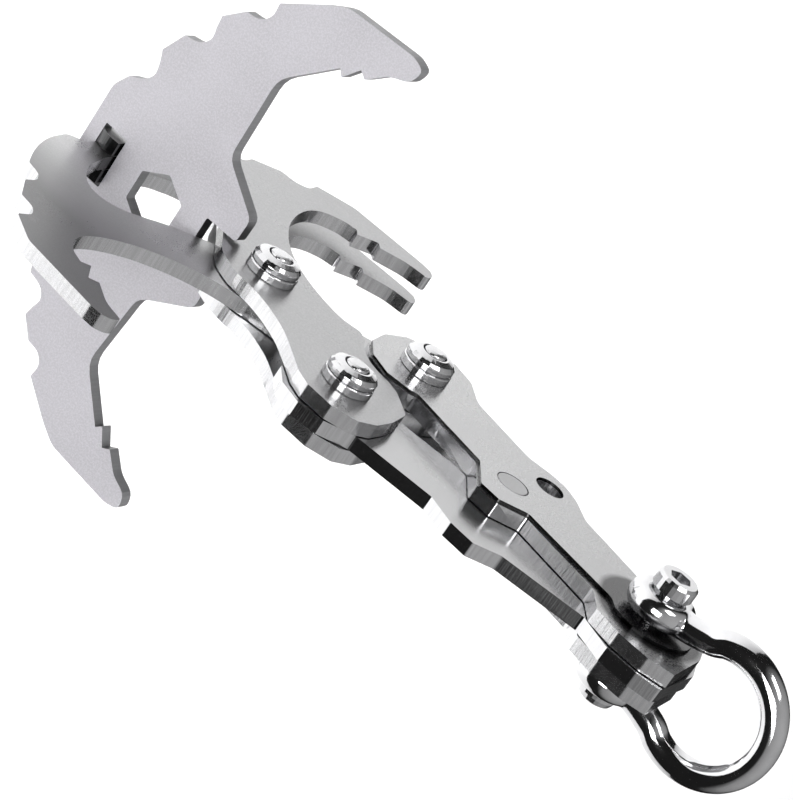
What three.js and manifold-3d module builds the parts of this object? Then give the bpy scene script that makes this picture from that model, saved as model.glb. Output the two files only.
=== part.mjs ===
// Folding grapnel anchor, hung by its bow shackle. Millimetres, +Z up.
// X runs across the claws, Y through the plates (the nuts are on the -Y side).
// Two claws cross on the centre bolt, two links join them to the shackle pin,
// and a double-ended cross claw sits over the claws' horns.
import * as THREE from 'three';
import { mergeVertices } from 'three/addons/utils/BufferGeometryUtils.js';
import Module from 'manifold-3d';

// ---- driving dimensions -------------------------------------------------
const plate = 3.0; // steel plate thickness
const layer = 3.2; // pitch of the three plate layers
const coverPlate = 0.65; // thin cover on the right link
const claw = { armX: 14.1, armZ: 31 }; // claw pivot to link pivot
const linkZ = 68.2; // link pivot to shackle pin, along the shank
const pinZ = claw.armZ + linkZ; // shackle pin above the centre bolt
const bolt = { shaft: 2.3, hole: 2.6, nut: 5.05, washer: 5.2, washerThick: 1.7, nutThick: 2.4 };
const pin = { shaft: 3.0, hole: 3.3, open: 4.7 }; // open: the left link's free eye
const eye = { rx: 13.2, rz: 11.2 }; // faceted link end round its bolt
const horn = { inner: 40.1, outer: 45.1 }; // arc of the horns about the centre bolt
const bow = { ring: 12.3, tube: 2.75, rise: 18.6, ear: 6.8, earIn: 5.8, earOut: 11.2 };
const hangZ = pinZ + bow.rise + bow.ring - bow.tube; // rope bears here: the origin

const topFace = -layer - plate / 2; // outer face of the top layer
const coverFace = topFace - 0.05 - coverPlate; // outer face of the cover
const bottomFace = layer + plate / 2;

// ---- helpers -------------------------------------------------------------
// Shape from corners [x, z, corner radius]; a radius rounds that corner.
function outline(given, Kind = THREE.Shape) {
  const turn = THREE.ShapeUtils.area(given.map(([x, y]) => new THREE.Vector2(x, y)));
  const corners = turn < 0 ? [...given].reverse() : given;
  const path = new Kind();
  const n = corners.length;
  for (let i = 0; i < n; i += 1) {
    const here = new THREE.Vector2(corners[i][0], corners[i][1]);
    const prev = new THREE.Vector2(corners[(i + n - 1) % n][0], corners[(i + n - 1) % n][1]);
    const next = new THREE.Vector2(corners[(i + 1) % n][0], corners[(i + 1) % n][1]);
    const r = corners[i][2] || 0;
    const cutIn = Math.min(r, here.distanceTo(prev) * 0.45);
    const cutOut = Math.min(r, here.distanceTo(next) * 0.45);
    const a = here.clone().lerp(prev, cutIn / here.distanceTo(prev));
    const b = here.clone().lerp(next, cutOut / here.distanceTo(next));
    if (i === 0) path.moveTo(a.x, a.y);
    else path.lineTo(a.x, a.y);
    if (r > 0) path.quadraticCurveTo(here.x, here.y, b.x, b.y);
  }
  path.closePath();
  return path;
}

// Corners along an ellipse about (cx, cz), angles in degrees.
function ellipseCorners(cx, cz, rx, rz, from, to, count) {
  const corners = [];
  for (let i = 0; i < count; i += 1) {
    const t = THREE.MathUtils.degToRad(from + ((to - from) * i) / (count - 1));
    corners.push([cx + rx * Math.cos(t), cz + rz * Math.sin(t), 0]);
  }
  return corners;
}

function roundHole(cx, cz, r) {
  const points = [];
  for (let i = 0; i < 28; i += 1) {
    const t = (i * Math.PI * 2) / 28;
    points.push(new THREE.Vector2(cx + r * Math.cos(t), cz + r * Math.sin(t)));
  }
  return new THREE.Path(points);
}

// Plate lying in XZ, from yMin up to yMin + thick.
function flatPlate(shape, yMin, thick = plate) {
  const solid = new THREE.ExtrudeGeometry(shape, {
    depth: thick,
    bevelEnabled: false,
    curveSegments: 3,
  });
  solid.rotateX(Math.PI / 2);
  solid.translate(0, yMin + thick, 0);
  return solid;
}

// Turned part about a Y axis through (x, z); the profile lists [radius, y].
function turned(profile, x, z, segments = 28) {
  const points = profile.map(([r, y]) => new THREE.Vector2(r, y));
  const solid = new THREE.LatheGeometry(points, segments);
  solid.translate(x, 0, z);
  return solid;
}

function mirrorX(corners) {
  return corners.map(([x, z, r]) => [-x, z, r]).reverse();
}

const wasm = await Module();
wasm.setup();

function toManifold(geometry) {
  const g = geometry.clone();
  g.deleteAttribute('normal');
  g.deleteAttribute('uv');
  const m = mergeVertices(g, 1e-4);
  return new wasm.Manifold(new wasm.Mesh({
    numProp: 3,
    vertProperties: new Float32Array(m.attributes.position.array),
    triVerts: new Uint32Array(m.index.array),
  }));
}

function fromManifold(solid) {
  const mesh = solid.getMesh();
  const g = new THREE.BufferGeometry();
  g.setAttribute('position', new THREE.BufferAttribute(new Float32Array(mesh.vertProperties), 3));
  g.setIndex(new THREE.BufferAttribute(new Uint32Array(mesh.triVerts), 1));
  g.computeVertexNormals();
  return g;
}

const finishes = {
  face: { color: 0xb9babb, roughness: 0.34, metalness: 1 },
  dark: { color: 0x9a9b9c, roughness: 0.36, metalness: 1 },
  matte: { color: 0xc3c2c8, roughness: 0.6, metalness: 0.9 },
  polished: { color: 0xd0d1d2, roughness: 0.14, metalness: 1 },
};

const grapnel = new THREE.Group();
grapnel.name = 'folding_grapnel_anchor';

function add(name, geometry, finish) {
  geometry.translate(0, 0, -hangZ);
  const mesh = new THREE.Mesh(geometry, new THREE.MeshStandardMaterial(finishes[finish]));
  mesh.material.name = `${name}_steel`;
  mesh.name = name;
  grapnel.add(mesh);
}

// ---- claws ---------------------------------------------------------------
function hornArc(radius, from, to, count) {
  return ellipseCorners(0, 0, radius, radius, from, to, count);
}

// Right claw, running to -X; its arm leans to +X and carries the left link.
const clawCorners = [
  // arm end round the link bolt
  [6, 41, 1], [12.7, 42.3, 0.3], [18.4, 42.4, 0.3], [22.9, 40.6, 0.3], [25.7, 35.8, 0.3], [25.8, 29.7, 0.3],
  [24, 26, 0.5],
  // outer side of the arm, down to the hub
  [20, 21.4, 3], [15, 15.2, 3], [12, 9, 2], [10.6, 4, 2], [10.4, -1.5, 2], [7.6, -7.4, 2],
  // under the hub and into the bay
  [2.2, -11.4, 3], [-2, -14.4, 1], [-8, -19, 2], [-13.5, -21.8, 2], [-17.8, -24.2, 2],
  [-20.3, -27.8, 2], [-20.2, -31.6, 2], [-17.4, -34.9, 2], [-12.6, -37.8, 1],
  // horn: inner arc, tip, outer arc
  ...hornArc(horn.inner, 262, 274.6, 5), [3.5, -42.6, 1], ...hornArc(horn.outer, 272.6, 263, 4),
  // back of the claw, with its two notches
  [-9, -47.4, 1], [-15, -46.7, 3], [-20.5, -44.9, 3], [-26, -42.2, 3], [-30.6, -39.2, 0.5],
  [-31.4, -35.8, 1.2], [-34, -33.8, 1.2], [-37.4, -34.2, 0.4],
  [-43.2, -30, 0.5], [-43.8, -26.4, 1.2], [-46.2, -24.2, 1.2], [-50.2, -24.8, 0.4],
  [-55.2, -17.4, 1], [-57.2, 0.8, 0.3], [-57, 3.3, 0.3],
  // tip, saw teeth and throat
  [-55.6, 5, 1], [-53.2, 5.4, 1], [-52, 0.4, 1.5], [-48, -4.8, 0], [-49.6, -6.4, 0.3],
  [-45.2, -9.4, 0], [-46.9, -10.8, 0.3], [-45.8, -13.6, 1], [-42.6, -16.6, 2], [-38, -17.8, 3],
  [-31.6, -16.6, 3], [-24.6, -13.6, 3], [-18, -8.8, 3], [-12.9, -3, 3], [-9.7, 3.4, 3],
  [-8, 9, 2], [-7.2, 14, 2], [-8.8, 18.2, 0.6],
  // hollow that clears the other link's rounded end
  ...ellipseCorners(-claw.armX, claw.armZ, eye.rx + 0.8, eye.rz + 0.8, -60, 4, 6),
  [1, 35, 1],
];

function clawPlate(corners, side, yMin, name, finish) {
  const shape = outline(corners);
  shape.holes.push(roundHole(0, 0, bolt.hole));
  shape.holes.push(roundHole(side * claw.armX, claw.armZ, bolt.hole));
  add(name, flatPlate(shape, yMin), finish);
}

clawPlate(clawCorners, 1, topFace, 'right_claw_upper_plate', 'face');
clawPlate(clawCorners, 1, bottomFace - plate, 'right_claw_lower_plate', 'face');
clawPlate(mirrorX(clawCorners), -1, -plate / 2, 'left_claw_plate', 'dark');

// ---- links -----------------------------------------------------------------
// Right link: from the left claw's arm (-X) up to the pin.
const linkCorners = (outerSide, pinEnd) => [
  ...ellipseCorners(-claw.armX, claw.armZ, eye.rx, eye.rz, 152, 385, 9),
  // inner side with its hump
  [-3.2, 37, 0.5], [-1.7, 45, 1], [0.2, 55.2, 0.5], [7.6, 60.4, 0.3], [7.6, 65.7, 0.3], [3.4, 70.4, 0.5],
  [6.8, 89.4, 0.5],
  ...pinEnd,
  ...outerSide,
];
// Faceted end round the pin; the middle plate stands a little proud of the outer two.
const pinEndOuter = [
  [12, pinZ - 5.6, 0.3], [13.4, pinZ + 0.8, 0.3], [12.9, pinZ + 7.4, 0.3], [10.6, pinZ + 12.4, 0.3],
  [-2.2, pinZ + 11.2, 0.3], [-8.7, pinZ + 8.6, 0.3], [-12.5, pinZ + 4.4, 0.3], [-13.7, pinZ - 1.6, 0.3],
];
const pinEndMiddle = [
  [12.6, pinZ - 5.6, 0.3], [13.6, pinZ - 0.6, 0.3], [12.5, pinZ + 4.6, 0.3], [8.7, pinZ + 9.2, 0.3],
  [2.3, pinZ + 11.9, 0.3], [-12.2, pinZ + 12.4, 0.3], [-13.9, pinZ + 7.4, 0.3], [-14.4, pinZ + 0.8, 0.3],
];
const rightOuter = [
  [-9.9, 91, 0.5], [-13.2, 74.4, 0.4], [-17, 70, 0.4], [-18.6, 66, 0.4], [-18.5, 62.3, 0.4],
  [-17.2, 57, 0.4], [-20.2, 41.4, 1],
];
const leftOuter = [
  [-11.3, 92.4, 0.4], [-16.1, 75, 0.3], [-20.5, 70.7, 0.3], [-20.5, 65, 0.3], [-17.9, 58.4, 0.3],
  [-21.1, 41, 0.6],
];
const coverCorners = [
  ...ellipseCorners(-claw.armX, claw.armZ, eye.rx - 0.4, eye.rz - 0.4, 152, 385, 9),
  [-3.6, 37, 0.5], [-2.1, 45, 1], [-0.2, 55.5, 0.5], [7.1, 60.8, 0.3], [7.1, 65.4, 0.3], [2.8, 70.1, 0.5],
  [5.4, 92.6, 1],
  ...ellipseCorners(0, pinZ, 8.8, 8.8, -30, 208, 15),
  [-9.5, 91, 1], [-12.8, 74.7, 1], [-16.9, 69.6, 1], [-18.5, 65.8, 1], [-18.4, 62.4, 1], [-17, 57.1, 1],
  [-20, 41.6, 1.5],
];
const rivetAt = [-2.5, 62.5];
const lineHole = [-13, 65.2, 3.0];

function linkShape(corners, side, pinHole) {
  const shape = outline(corners);
  shape.holes.push(roundHole(-side * claw.armX, claw.armZ, bolt.hole));
  shape.holes.push(roundHole(0, pinZ, pinHole));
  if (side > 0) shape.holes.push(roundHole(...lineHole));
  return shape;
}

const rightLink = linkCorners(rightOuter, pinEndOuter);
const leftLink = mirrorX(linkCorners(leftOuter, pinEndMiddle));
const upperLink = linkShape(rightLink, 1, pin.hole);
upperLink.holes.push(roundHole(rivetAt[0], rivetAt[1], 2.3));
add('right_link_upper_plate', flatPlate(upperLink, topFace), 'face');
add('right_link_lower_plate', flatPlate(linkShape(rightLink, 1, pin.hole), bottomFace - plate), 'face');
add('left_link_plate', flatPlate(linkShape(leftLink, -1, pin.open), -plate / 2), 'face');

const cover = linkShape(coverCorners, 1, pin.hole);
cover.holes.push(roundHole(rivetAt[0], rivetAt[1], 3.4));
add('right_link_cover_plate', flatPlate(cover, coverFace, coverPlate), 'face');
add('cover_rivet', turned([
  [0, coverFace], [3.2, coverFace], [3.2, topFace - 0.08], [2.05, topFace - 0.08],
  [2.05, topFace + plate - 0.1], [0, topFace + plate - 0.1],
], rivetAt[0], rivetAt[1]), 'face');

// ---- bolts, washers and nuts ----------------------------------------------
function pivot(number, x, z, seat) {
  const washerTop = seat - 0.05 - bolt.washerThick;
  const nutTop = washerTop - 0.05 - bolt.nutThick;
  const head = bottomFace + 0.05;
  add(`pivot_washer_${number}`, turned([
    [bolt.hole, seat - 0.05], [bolt.hole, washerTop], [bolt.washer - 0.2, washerTop],
    [bolt.washer, washerTop + 0.2], [bolt.washer, seat - 0.05], [bolt.hole, seat - 0.05],
  ], x, z), 'polished');
  add(`pivot_nut_${number}`, turned([
    [bolt.hole, washerTop - 0.05], [bolt.hole, nutTop], [3.1, nutTop], [4.4, nutTop + 0.45],
    [bolt.nut, nutTop + 1.2], [bolt.nut, washerTop - 0.3], [bolt.nut - 0.25, washerTop - 0.05],
    [bolt.hole, washerTop - 0.05],
  ], x, z), 'polished');
  add(`pivot_bolt_${number}`, turned([
    [0, nutTop - 0.6], [1.4, nutTop - 0.55], [2, nutTop - 0.35], [bolt.shaft, nutTop],
    [bolt.shaft, head], [5.4, head], [5.4, head + 1.6],
    [4.6, head + 2.7], [2.2, head + 3.0], [0, head + 3.0],
  ], x, z), 'polished');
}

pivot(1, 0, 0, topFace);
pivot(2, claw.armX, claw.armZ, topFace);
pivot(3, -claw.armX, claw.armZ, coverFace);

// ---- cross claw --------------------------------------------------------------
// Half outline in (distance from the middle, z), from the notch floor round to the back.
const crossHalf = [
  [5.1, -16.6, 0.5], [5.3, -8.9, 0.8], [10.6, -8.7, 1.4], [17.3, -19.4, 2], [35.3, -19.7, 2.4],
  [45, -10.2, 0], [43.8, -9, 0.2], [47.4, -6.4, 0], [46.4, -4.8, 0.2], [50, -1, 1],
  [51.7, 3.3, 1.4], [55, 4.2, 1.2], [56, 1.2, 1], [55, -15.2, 1.5], [52.4, -19.8, 1],
  // round bites down the back, with flat-topped teeth between them
  [46.8, -27.8, 0.2], [43.9, -27.5, 1.6], [41.6, -29.4, 1.6], [41.3, -32.7, 0.2], [37.4, -36.6, 0.2],
  [34.9, -36.3, 0], [32.6, -35.7, 1.6], [30.3, -37.4, 1.6], [29.6, -41.1, 0.2], [24.4, -43.6, 0.2],
  [22.2, -42.6, 1], [19.4, -41.9, 1.6], [17.2, -43.7, 1.6], [15.9, -46.6, 0.2], [12.5, -48.6, 1],
];
// The rear half sweeps a little lower and shorter than the front one.
const frontHalf = crossHalf.map(([y, z, r]) => [-y, z, r]);
const rearHalf = crossHalf.map(([y, z, r]) => {
  const out = Math.max(0, y - 12);
  return [y - 0.055 * out, z - 0.075 * out, r];
});

const crossShape = outline([...rearHalf, ...frontHalf.reverse()]);
const hexRadius = 6.35;
const hexHole = [];
for (let i = 0; i < 6; i += 1) {
  const t = (-i * Math.PI) / 3;
  hexHole.push([hexRadius * Math.cos(t), -28 + hexRadius * Math.sin(t), 0.4]);
}
crossShape.holes.push(outline(hexHole, THREE.Path));
crossShape.holes.push(outline([
  [5.6, -39.7, 0.3], [5.6, -45.5, 0.3], [-5.6, -45.5, 0.3], [-5.6, -39.7, 0.3],
], THREE.Path));
const crossGeometry = new THREE.ExtrudeGeometry(crossShape, {
  depth: plate,
  bevelEnabled: false,
  curveSegments: 3,
});
crossGeometry.applyMatrix4(new THREE.Matrix4().makeBasis(
  new THREE.Vector3(0, 1, 0),
  new THREE.Vector3(0, 0, 1),
  new THREE.Vector3(1, 0, 0),
));
crossGeometry.translate(-plate / 2, 0, 0);
add('cross_claw', crossGeometry, 'matte');

// ---- shackle -----------------------------------------------------------------
function bowPath() {
  const points = [];
  const earMid = (bow.earIn + bow.earOut) / 2;
  points.push(new THREE.Vector3(0, earMid, pinZ + 1.5));
  points.push(new THREE.Vector3(0, earMid, pinZ + 5.5));
  for (let deg = -36; deg <= 216; deg += 14) {
    const t = THREE.MathUtils.degToRad(deg);
    points.push(new THREE.Vector3(0, bow.ring * Math.cos(t), pinZ + bow.rise + bow.ring * Math.sin(t)));
  }
  points.push(new THREE.Vector3(0, -earMid, pinZ + 5.5));
  points.push(new THREE.Vector3(0, -earMid, pinZ + 1.5));
  return new THREE.CatmullRomCurve3(points, false, 'centripetal');
}

const tubeSection = new THREE.Shape();
tubeSection.absarc(0, 0, bow.tube, 0, Math.PI * 2, false);
const tube = new THREE.ExtrudeGeometry(tubeSection, {
  steps: 44,
  curveSegments: 9,
  bevelEnabled: false,
  extrudePath: bowPath(),
});

function ear(side) {
  const inner = bow.earIn;
  const outer = bow.earOut;
  const mid = (inner + outer) / 2;
  const profile = [
    [0, inner], [bow.ear - 2, inner], [bow.ear - 0.8, inner + 0.5], [bow.ear - 0.1, inner + 1.5],
    [bow.ear, mid],
    [bow.ear - 0.1, outer - 1.5], [bow.ear - 0.8, outer - 0.5], [bow.ear - 2, outer], [0, outer],
  ];
  const ordered = side > 0 ? profile : profile.map(([r, y]) => [r, -y]).reverse();
  return toManifold(turned(ordered, 0, pinZ));
}

const bore = new THREE.CylinderGeometry(pin.hole, pin.hole, 40, 28);
bore.translate(0, 0, pinZ);
const bowSolid = toManifold(tube).add(ear(1)).add(ear(-1)).subtract(toManifold(bore));
add('shackle_bow', fromManifold(bowSolid), 'polished');

const headSeat = -bow.earOut - 0.3;
const pinBody = turned([
  [0, bow.earOut + 3.0], [2.2, bow.earOut + 2.9], [3.4, bow.earOut + 2.2], [3.9, bow.earOut + 1.1],
  [3.9, bow.earOut + 0.3], [pin.shaft, bow.earOut + 0.3], [pin.shaft, headSeat], [3.7, headSeat],
  [4.1, headSeat - 0.5], [4.1, headSeat - 2.7], [3.6, headSeat - 3.3], [0, headSeat - 3.3],
].reverse(), 0, pinZ);
const socket = new THREE.CylinderGeometry(2.3, 2.3, 4, 6);
socket.translate(0, headSeat - 3.3, pinZ);
add('shackle_pin', fromManifold(toManifold(pinBody).subtract(toManifold(socket))), 'polished');

export default grapnel;
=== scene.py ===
import math

import bpy
from mathutils import Matrix, Vector


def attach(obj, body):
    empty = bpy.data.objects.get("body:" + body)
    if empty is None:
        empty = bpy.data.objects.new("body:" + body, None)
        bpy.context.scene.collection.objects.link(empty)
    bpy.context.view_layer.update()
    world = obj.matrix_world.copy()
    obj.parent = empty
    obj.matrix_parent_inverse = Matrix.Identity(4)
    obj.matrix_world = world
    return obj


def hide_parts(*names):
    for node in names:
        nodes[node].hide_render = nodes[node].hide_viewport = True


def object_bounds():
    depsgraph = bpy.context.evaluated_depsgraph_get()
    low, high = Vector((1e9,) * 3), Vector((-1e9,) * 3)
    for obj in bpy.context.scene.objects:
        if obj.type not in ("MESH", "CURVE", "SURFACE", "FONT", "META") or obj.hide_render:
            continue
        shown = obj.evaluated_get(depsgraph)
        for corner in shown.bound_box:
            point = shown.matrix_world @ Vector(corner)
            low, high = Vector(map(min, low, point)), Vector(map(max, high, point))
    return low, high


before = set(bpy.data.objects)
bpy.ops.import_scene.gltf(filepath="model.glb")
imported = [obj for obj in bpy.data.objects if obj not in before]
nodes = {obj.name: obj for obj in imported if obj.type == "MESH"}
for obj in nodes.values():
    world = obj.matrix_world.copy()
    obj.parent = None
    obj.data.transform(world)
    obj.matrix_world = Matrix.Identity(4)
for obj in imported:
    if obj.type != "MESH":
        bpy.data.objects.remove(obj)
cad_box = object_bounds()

scene = bpy.context.scene

MM = 0.001
HANG_Z = 127.35 * MM        # origin above the centre bolt
PIN_Z = 99.2 * MM - HANG_Z  # shackle pin
WELD = 0.002 * MM


# ---- node helpers ----------------------------------------------------------

def new_material(name):
    material = bpy.data.materials.new(name)
    material.use_nodes = True
    tree = material.node_tree
    tree.nodes.clear()
    output = tree.nodes.new("ShaderNodeOutputMaterial")
    shader = tree.nodes.new("ShaderNodeBsdfPrincipled")
    tree.links.new(shader.outputs[0], output.inputs[0])
    return material, tree, shader


def noise(tree, coords, scale, detail, stretch=(1, 1, 1), rough=0.6, turn=0.0):
    """Noise over object space, stretched along chosen axes and turned about Y."""
    mapping = tree.nodes.new("ShaderNodeMapping")
    mapping.inputs["Scale"].default_value = stretch
    mapping.inputs["Rotation"].default_value = (0, turn, 0)
    tree.links.new(coords.outputs["Object"], mapping.inputs["Vector"])
    field = tree.nodes.new("ShaderNodeTexNoise")
    field.inputs["Scale"].default_value = scale
    field.inputs["Detail"].default_value = detail
    field.inputs["Roughness"].default_value = rough
    tree.links.new(mapping.outputs[0], field.inputs["Vector"])
    return field.outputs["Fac"]


def remap(tree, value, low, high, out_low, out_high):
    node = tree.nodes.new("ShaderNodeMapRange")
    node.inputs["From Min"].default_value = low
    node.inputs["From Max"].default_value = high
    node.inputs["To Min"].default_value = out_low
    node.inputs["To Max"].default_value = out_high
    tree.links.new(value, node.inputs["Value"])
    return node.outputs["Result"]


def math_node(tree, kind, a, b):
    node = tree.nodes.new("ShaderNodeMath")
    node.operation = kind
    for socket, value in zip(node.inputs, (a, b)):
        if isinstance(value, (int, float)):
            socket.default_value = value
        else:
            tree.links.new(value, socket)
    return node.outputs[0]


def mix_color(tree, factor, a, b):
    node = tree.nodes.new("ShaderNodeMix")
    node.data_type = "RGBA"
    tree.links.new(factor, node.inputs["Factor"])
    for socket, value in ((node.inputs["A"], a), (node.inputs["B"], b)):
        if isinstance(value, tuple):
            socket.default_value = value
        else:
            tree.links.new(value, socket)
    return node.outputs["Result"]


def set_bump(tree, shader, height, strength, distance):
    bump = tree.nodes.new("ShaderNodeBump")
    bump.inputs["Strength"].default_value = strength
    bump.inputs["Distance"].default_value = distance
    tree.links.new(height, bump.inputs["Height"])
    tree.links.new(bump.outputs[0], shader.inputs["Normal"])


def tint(color, factor):
    red, green, blue, alpha = color
    return (red * factor, green * factor, blue * factor, alpha)


# ---- plate steel -----------------------------------------------------------

MOTTLE_SCALE = 55    # noise scales, in features per metre
GRAIN_SCALE = 900
CUT_SCALE = 1600
SPECK_SCALE = 2600
# near-black colour mixed in as painted shade
SHADE_PAINT = (0.02, 0.02, 0.021, 1)


def edge_mask(tree, coords, axis):
    """1 on the cut edges of a plate, 0 on its broad faces, which look along the axis."""
    split = tree.nodes.new("ShaderNodeSeparateXYZ")
    tree.links.new(coords.outputs["Normal"], split.inputs[0])
    size = math_node(tree, "ABSOLUTE", split.outputs[axis], 0.0)
    return remap(tree, size, 0.35, 0.75, 1.0, 0.0)


def add_painted_fade(tree, coords, mask, color, face, fade):
    """Painted shade: darkens the faces towards one end of a claw: fade is (dark x, bright x, factor).
    """
    dark_x, bright_x, factor = fade
    split = tree.nodes.new("ShaderNodeSeparateXYZ")
    tree.links.new(coords.outputs["Object"], split.inputs[0])
    along = remap(tree, split.outputs["X"], dark_x, bright_x, 1.0, 0.0)
    darkening = math_node(tree, "MULTIPLY", along, math_node(tree, "SUBTRACT", 1.0, mask))
    return mix_color(tree, darkening, color, tint(face, factor))


def add_painted_shade(tree, coords, mask, mottling, color, shade_spot):
    """Painted shade round a point: (centre, full radius, end radius, depth, on the edges only)."""
    centre, inner, outer, depth, edges_only = shade_spot
    away = tree.nodes.new("ShaderNodeVectorMath")
    away.operation = "DISTANCE"
    tree.links.new(coords.outputs["Object"], away.inputs[0])
    away.inputs[1].default_value = centre
    wander = remap(tree, mottling, 0.3, 0.7, -0.6 * MM, 0.6 * MM)
    uneven = math_node(tree, "ADD", away.outputs["Value"], wander)
    amount = remap(tree, uneven, inner, outer, depth, 0.0)
    if edges_only:
        amount = math_node(tree, "MULTIPLY", amount, mask)
    return mix_color(tree, amount, color, SHADE_PAINT)


def plate_steel(name, face, dark, edge, rough, axis="Y", grain_turn=0.0, seed=0,
                metal=1.0, painted_shades=(), fade=None):
    """Satin sheet: mill grain and mottling on the faces, cutting striations on the edges."""
    material, tree, shader = new_material(name)
    coords = tree.nodes.new("ShaderNodeTexCoord")
    mask = edge_mask(tree, coords, axis)
    grain_stretch, cut_stretch = {
        "Y": ((1, 1, 0.06), (1, 0.05, 1)),
        "X": ((1, 1, 0.1), (0.05, 1, 1)),
    }[axis]

    mottling = noise(tree, coords, MOTTLE_SCALE + seed, 5)
    grain = noise(tree, coords, GRAIN_SCALE, 3, grain_stretch, turn=grain_turn)
    cut = noise(tree, coords, CUT_SCALE, 2, cut_stretch, rough=0.55)
    speck = noise(tree, coords, SPECK_SCALE + seed, 2, rough=0.7)

    # colour: mottled, grained and speckled faces; striped edges; then painted shade
    body = mix_color(tree, remap(tree, mottling, 0.3, 0.7, 0.0, 1.0), dark, face)
    body = mix_color(tree, remap(tree, grain, 0.35, 0.65, 0.0, 0.35), body, dark)
    body = mix_color(tree, remap(tree, speck, 0.42, 0.62, 0.0, 0.45), body, tint(face, 1.3))
    striped = mix_color(tree, remap(tree, cut, 0.35, 0.65, 0.0, 1.0), edge, tint(edge, 1.15))
    color = mix_color(tree, mask, body, striped)
    if fade:
        color = add_painted_fade(tree, coords, mask, color, face, fade)
    for shade_spot in painted_shades:
        color = add_painted_shade(tree, coords, mask, mottling, color, shade_spot)
    tree.links.new(color, shader.inputs["Base Color"])

    # roughness: uneven on the faces, a little smoother on the edges
    broad = remap(tree, mottling, 0.3, 0.7, rough * 0.85, rough * 1.15)
    spread = math_node(tree, "ADD", broad, remap(tree, speck, 0.4, 0.6, -0.03, 0.03))
    edge_rough = math_node(tree, "MULTIPLY", mask, -0.12)
    tree.links.new(math_node(tree, "ADD", spread, edge_rough), shader.inputs["Roughness"])
    shader.inputs["Metallic"].default_value = metal

    height = math_node(tree, "ADD", math_node(tree, "MULTIPLY", grain, 0.25),
                       math_node(tree, "MULTIPLY", speck, 0.35))
    cut_height = math_node(tree, "MULTIPLY", math_node(tree, "MULTIPLY", cut, mask), 0.8)
    set_bump(tree, shader, math_node(tree, "ADD", height, cut_height), 0.3, 0.06 * MM)
    return material


FACE = (0.43, 0.43, 0.435, 1)
FACE_DARK = (0.37, 0.37, 0.375, 1)
EDGE = (0.62, 0.62, 0.63, 1)
CLAW = (0.38, 0.38, 0.385, 1)
CLAW_DARK = (0.31, 0.31, 0.315, 1)
# the cover plate's edges are painted near black, as painted shade
COVER_EDGE_SHADE = (0.10, 0.10, 0.10, 1)
CROSS = (0.47, 0.46, 0.49, 1)
CROSS_DARK = (0.42, 0.41, 0.435, 1)
CROSS_EDGE = (0.16, 0.16, 0.165, 1)

# painted shade: the plates are darkened in the cross claw's slot and notch, and round the pin
NOTCH_SHADE = ((2 * MM, -2 * MM, -12 * MM - HANG_Z), 7.5 * MM, 10 * MM, 0.95, True)
SLOT_SHADE = ((1 * MM, 0, -41.5 * MM - HANG_Z), 5.5 * MM, 8 * MM, 0.93, True)
# painted shadow of the shackle ear, in a ring round the pin
PIN_SHADE = ((0, -5.5 * MM, PIN_Z), 10.2 * MM, 11.6 * MM, 0.85, False)
# painted shade: the left claw's faces are darker towards its tip
CLAW_TIP_SHADE = (36 * MM, 14 * MM, 0.34)

plate_looks = {
    "right_claw_upper_plate": plate_steel(
        "right_claw_upper_steel", CLAW, CLAW_DARK, EDGE, 0.33, seed=1, painted_shades=(NOTCH_SHADE, SLOT_SHADE)),
    "right_claw_lower_plate": plate_steel(
        "right_claw_lower_steel", CLAW, CLAW_DARK, EDGE, 0.33, seed=2, painted_shades=(NOTCH_SHADE, SLOT_SHADE)),
    "left_claw_plate": plate_steel(
        "left_claw_steel", FACE, FACE_DARK, EDGE, 0.33, grain_turn=0.7, seed=3,
        painted_shades=(NOTCH_SHADE, SLOT_SHADE), fade=CLAW_TIP_SHADE),
    "right_link_upper_plate": plate_steel(
        "right_link_upper_steel", FACE, FACE_DARK, EDGE, 0.30, seed=4, painted_shades=(PIN_SHADE,)),
    "right_link_lower_plate": plate_steel(
        "right_link_lower_steel", FACE, FACE_DARK, EDGE, 0.30, seed=5),
    "right_link_cover_plate": plate_steel(
        "right_link_cover_steel", FACE, FACE_DARK, COVER_EDGE_SHADE, 0.26, seed=6, painted_shades=(PIN_SHADE,)),
    "left_link_plate": plate_steel(
        "left_link_steel", FACE, FACE_DARK, EDGE, 0.22, grain_turn=0.4, seed=7),
    "cover_rivet": plate_steel(
        "cover_rivet_steel", FACE_DARK, FACE_DARK, EDGE, 0.36, seed=8),
    "cross_claw": plate_steel(
        "cross_claw_steel", CROSS, CROSS_DARK, CROSS_EDGE, 0.55, axis="X", seed=9,
        metal=0.25, painted_shades=(NOTCH_SHADE, SLOT_SHADE)),
}


# ---- polished steel --------------------------------------------------------

BRIGHT = (0.68, 0.68, 0.69, 1)
BRIGHT_BOW = (0.72, 0.72, 0.73, 1)


def polished_steel(name, color, rough, seed):
    """Polished fittings: fine polishing marks, and smears in colour and roughness."""
    material, tree, shader = new_material(name)
    coords = tree.nodes.new("ShaderNodeTexCoord")
    smear = noise(tree, coords, 180 + seed, 4)
    scratch = noise(tree, coords, 2400 + seed, 2, (1, 0.15, 1))
    tree.links.new(mix_color(tree, remap(tree, smear, 0.3, 0.7, 0.0, 1.0), tint(color, 0.86), color),
                   shader.inputs["Base Color"])
    tree.links.new(remap(tree, smear, 0.3, 0.7, rough * 0.7, rough * 1.3), shader.inputs["Roughness"])
    shader.inputs["Metallic"].default_value = 1.0
    set_bump(tree, shader, scratch, 0.08, 0.04 * MM)
    return material


# ---- the CAD nodes ---------------------------------------------------------

def dress(node, look):
    node.data.materials.clear()
    node.data.materials.append(look)


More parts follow.
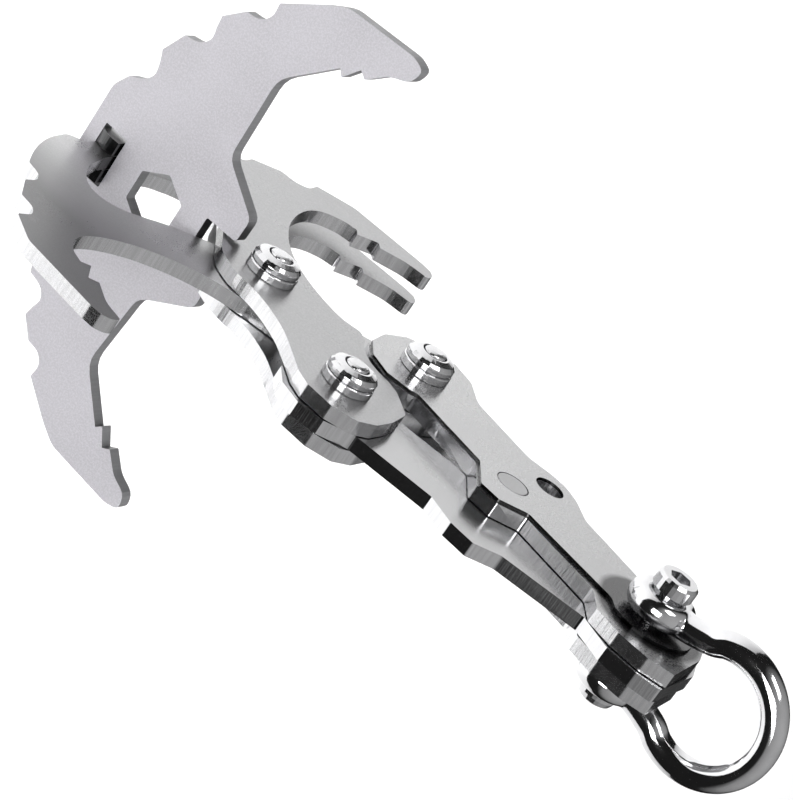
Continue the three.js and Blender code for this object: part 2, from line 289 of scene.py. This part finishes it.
def break_edges(node, width, segments, angle):
    """Joins split corners, then rounds the edges sharper than the angle."""
    node.modifiers.new("joined_corners", "WELD").merge_threshold = WELD
    bevel = node.modifiers.new("broken_edges", "BEVEL")
    bevel.width = width
    bevel.segments = segments
    bevel.limit_method = "ANGLE"
    bevel.angle_limit = math.radians(angle)


for name, look in plate_looks.items():
    thin = "cover" in name
    break_edges(nodes[name], 0.1 * MM if thin else 0.32 * MM, 3, 50)
    dress(nodes[name], look)

for number in (1, 2, 3):
    for kind, rough in (("bolt", 0.24), ("washer", 0.2), ("nut", 0.16)):
        name = f"pivot_{kind}_{number}"
        break_edges(nodes[name], 0.12 * MM, 2, 28)
        dress(nodes[name], polished_steel(name + "_steel", BRIGHT, rough, number))

dress(nodes["shackle_pin"], polished_steel("shackle_pin_steel", BRIGHT, 0.14, 5))


# ---- the shackle bow -------------------------------------------------------
# One forging: a round bar that swells into two ring-shaped ears, bored for the pin.

BOW_RING, BOW_TUBE, BOW_RISE = 12.3 * MM, 2.72 * MM, 18.6 * MM
EAR_IN, EAR_OUT, EAR_RADIUS = 5.83 * MM, 11.17 * MM, 6.77 * MM
EAR_MID = (EAR_IN + EAR_OUT) / 2
EAR_ROUND = 2.2 * MM
LEG_FOOT, LEG_TOP = PIN_Z + 1.5 * MM, PIN_Z + 5.5 * MM
ARC_START, ARC_STEP, ARC_POINTS = -36, 14, 19   # degrees round the ring
BORE_RADIUS, BORE_REACH = 3.3 * MM, 14 * MM


def turn(count, j):
    return 2 * math.pi * j / count


def bow_centreline(steps):
    """Smooth line from one ear over the crown to the other, in the plane x = 0."""
    keys = [Vector((0, EAR_MID, LEG_FOOT)), Vector((0, EAR_MID, LEG_TOP))]
    for i in range(ARC_POINTS):
        t = math.radians(ARC_START + ARC_STEP * i)
        keys.append(Vector((0, BOW_RING * math.cos(t), PIN_Z + BOW_RISE + BOW_RING * math.sin(t))))
    keys += [Vector((0, -EAR_MID, LEG_TOP)), Vector((0, -EAR_MID, LEG_FOOT))]
    points = []
    for i in range(len(keys) - 1):
        p0, p1 = keys[max(i - 1, 0)], keys[i]
        p2, p3 = keys[i + 1], keys[min(i + 2, len(keys) - 1)]
        for k in range(steps):
            t = k / steps
            points.append(0.5 * (2 * p1 + (p2 - p0) * t + (2 * p0 - 5 * p1 + 4 * p2 - p3) * t * t
                                 + (3 * p1 - p0 - 3 * p2 + p3) * t ** 3))
    points.append(keys[-1])
    return points


def add_bar(verts, faces, around=40):
    line = bow_centreline(6)
    side = Vector((1, 0, 0))
    for i, point in enumerate(line):
        ahead = line[min(i + 1, len(line) - 1)] - line[max(i - 1, 0)]
        ahead.normalize()
        up = ahead.cross(side)
        for j in range(around):
            t = turn(around, j)
            verts.append(point + BOW_TUBE * (math.cos(t) * side + math.sin(t) * up))
    last = (len(line) - 1) * around
    for ring in range(0, last, around):
        for j in range(around):
            a, b = ring + j, ring + (j + 1) % around
            faces.append((a, a + around, b + around, b))
    faces.append(tuple(range(around)))
    faces.append(tuple(reversed(range(last, last + around))))


def add_ear(verts, faces, sign, turns=72):
    half = (EAR_OUT - EAR_IN) / 2
    profile = [(0, EAR_IN)]
    for i in range(13):
        t = math.radians(-90 + 15 * i)
        profile.append((EAR_RADIUS - EAR_ROUND + EAR_ROUND * math.cos(t), EAR_MID + half * math.sin(t)))
    profile.append((0, EAR_OUT))
    base = len(verts)
    for radius, y in profile:
        for j in range(turns):
            t = turn(turns, j)
            verts.append(Vector((radius * math.cos(t), sign * y, PIN_Z + radius * math.sin(t))))
    for ring in range(base, base + (len(profile) - 1) * turns, turns):
        for j in range(turns):
            a, b = ring + j, ring + (j + 1) % turns
            quad = (a, a + turns, b + turns, b)
            faces.append(quad if sign < 0 else tuple(reversed(quad)))


def bow_mesh():
    verts, faces = [], []
    add_bar(verts, faces)
    for sign in (1, -1):
        add_ear(verts, faces, sign)
    mesh = bpy.data.meshes.new("shackle_bow_forged")
    mesh.from_pydata([tuple(v) for v in verts], [], faces)
    return mesh


def bore_cylinder(sides=64):
    verts = []
    for y in (-BORE_REACH, BORE_REACH):
        for j in range(sides):
            t = turn(sides, j)
            verts.append((BORE_RADIUS * math.cos(t), y, PIN_Z + BORE_RADIUS * math.sin(t)))
    faces = [(j, (j + 1) % sides, sides + (j + 1) % sides, sides + j) for j in range(sides)]
    faces += [tuple(reversed(range(sides))), tuple(range(sides, 2 * sides))]
    mesh = bpy.data.meshes.new("pin_bore")
    mesh.from_pydata(verts, [], faces)
    cylinder = bpy.data.objects.new("pin_bore", mesh)
    scene.collection.objects.link(cylinder)
    return cylinder


def make_bow():
    bow = bpy.data.objects.new("shackle_bow_forged", bow_mesh())
    scene.collection.objects.link(bow)
    fused = bow.modifiers.new("fused", "REMESH")
    fused.mode = "VOXEL"
    fused.voxel_size = 0.22 * MM
    fused.use_smooth_shade = True
    blended = bow.modifiers.new("blended", "SMOOTH")
    blended.factor = 0.5
    blended.iterations = 12
    bore = bore_cylinder()
    cut = bow.modifiers.new("bored", "BOOLEAN")
    cut.operation = "DIFFERENCE"
    cut.object = bore
    bpy.context.view_layer.update()
    depsgraph = bpy.context.evaluated_depsgraph_get()
    finished = bpy.data.meshes.new_from_object(bow.evaluated_get(depsgraph))
    bow.modifiers.clear()
    bow.data = finished
    bpy.data.objects.remove(bore)
    return bow


bow = make_bow()
dress(bow, polished_steel("shackle_bow_steel", BRIGHT_BOW, 0.09, 5))
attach(bow, "shackle")
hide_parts("shackle_bow")


# ---- floor and walls -------------------------------------------------------

FLOOR_Z = cad_box[0][2] - 0.25
ROOM = 3.0          # half the width of the floor
WALL_TOP = FLOOR_Z + 5
DARK_SIDE_X = 0.5   # the steel mirrors no floor beyond this


def pale_look(name, shade, rough, glow):
    material, _, shader = new_material(name)
    shader.inputs["Base Color"].default_value = (shade, shade, shade, 1)
    shader.inputs["Roughness"].default_value = rough
    shader.inputs["Emission Color"].default_value = (1, 1, 1, 1)
    shader.inputs["Emission Strength"].default_value = glow
    return material


def staged(name, verts, faces, look):
    mesh = bpy.data.meshes.new(name)
    mesh.from_pydata(verts, [], faces)
    mesh.materials.append(look)
    backdrop = bpy.data.objects.new(name, mesh)
    scene.collection.objects.link(backdrop)
    return backdrop


def sheet(name, x1, z, look):
    corners = [(-ROOM, -ROOM, z), (x1, -ROOM, z), (x1, ROOM, z), (-ROOM, ROOM, z)]
    return staged(name, corners, [(0, 1, 2, 3)], look)


floor_look = pale_look("pale_floor", 0.93, 0.8, 0.15)
floor = sheet("floor", ROOM, FLOOR_Z, floor_look)
floor.visible_glossy = False

# the part of the floor that the steel mirrors: it stops short on the +X side, which stays dark
bounce = sheet("bounce_card", DARK_SIDE_X, FLOOR_Z + 0.001, floor_look)
bounce.visible_camera = False
bounce.visible_diffuse = False
bounce.visible_shadow = False

# pale walls and ceiling that only the camera sees, so that other views keep a plain background
square = [(-ROOM, -ROOM), (ROOM, -ROOM), (ROOM, ROOM), (-ROOM, ROOM)]
wall_verts = [(x, y, z) for z in (FLOOR_Z - 0.01, WALL_TOP) for x, y in square]
wall_faces = [(i, (i + 1) % 4, 4 + (i + 1) % 4, 4 + i) for i in range(4)] + [(4, 5, 6, 7)]
walls = staged("walls", wall_verts, wall_faces, pale_look("pale_wall", 0.8, 0.9, 0.75))
walls.visible_glossy = False
walls.visible_diffuse = False
walls.visible_shadow = False


# ---- sky and lights --------------------------------------------------------
# The sky is dark at the horizon and mid-grey overhead: (height from 0 below to 1 above, grey).

SKY = ((0.40, 0.015), (0.57, 0.015), (0.70, 0.30), (1.0, 0.5))


def make_sky():
    world = bpy.data.worlds.new("studio")
    scene.world = world
    world.use_nodes = True
    tree = world.node_tree
    background = tree.nodes["Background"]
    where = tree.nodes.new("ShaderNodeTexCoord")
    height = tree.nodes.new("ShaderNodeSeparateXYZ")
    band = tree.nodes.new("ShaderNodeValToRGB")
    tree.links.new(where.outputs["Generated"], height.inputs[0])
    tree.links.new(remap(tree, height.outputs["Z"], -1.0, 1.0, 0.0, 1.0), band.inputs["Fac"])
    tree.links.new(band.outputs["Color"], background.inputs["Color"])
    stops = band.color_ramp.elements
    stops[0].position = SKY[0][0]
    stops[1].position = SKY[-1][0]
    for place, _ in SKY[1:-1]:
        stops.new(place)
    for stop, (_, grey) in zip(stops, SKY):
        stop.color = (grey, grey, grey, 1)
    background.inputs["Strength"].default_value = 1.0


def area_light(name, where, target, size, power):
    data = bpy.data.lights.new(name, "AREA")
    data.energy = power
    data.shape = "SQUARE"
    data.size = size
    light = bpy.data.objects.new(name, data)
    light.location = where
    light.rotation_euler = (Vector(target) - Vector(where)).to_track_quat("-Z", "Y").to_euler()
    scene.collection.objects.link(light)
    return light


make_sky()
scene.view_settings.view_transform = "Standard"

MIDDLE = (0, 0, -0.11)
area_light("key", (0.15, -0.75, 0.45), MIDDLE, 0.35, 2.2)
wash = area_light("floor_wash", (-0.8, 0.1, 1.3), (-0.8, 0.1, -0.4), 2.6, 44.0)
wash.visible_glossy = False
side = area_light("side_fill", (0.9, -0.15, 0.25), MIDDLE, 0.5, 3.5)
side.data.spread = math.radians(120)


# ---- camera ----------------------------------------------------------------
# It looks down from +X and -Y, rolled so that the shank runs corner to corner.

EYE = Vector((0.56324, -0.24127, 0.25770 - HANG_Z))
RIGHT = Vector((-0.49513, -0.52432, 0.69277))
DOWN = Vector((0.07444, 0.76884, 0.63509))
AHEAD = Vector((-0.86562, 0.36602, -0.34165))
LENS = 160.25675    # mm, on a sensor 36 mm wide

camera_data = bpy.data.cameras.new("camera")
camera = bpy.data.objects.new("camera", camera_data)
scene.collection.objects.link(camera)
scene.camera = camera
basis = Matrix((RIGHT, -DOWN, -AHEAD)).transposed().to_4x4()
basis.translation = EYE
camera.matrix_world = basis
camera_data.sensor_fit = "HORIZONTAL"
camera_data.sensor_width = 36.0
camera_data.lens = LENS
camera_data.clip_start = 0.01
camera_data.clip_end = 20.0
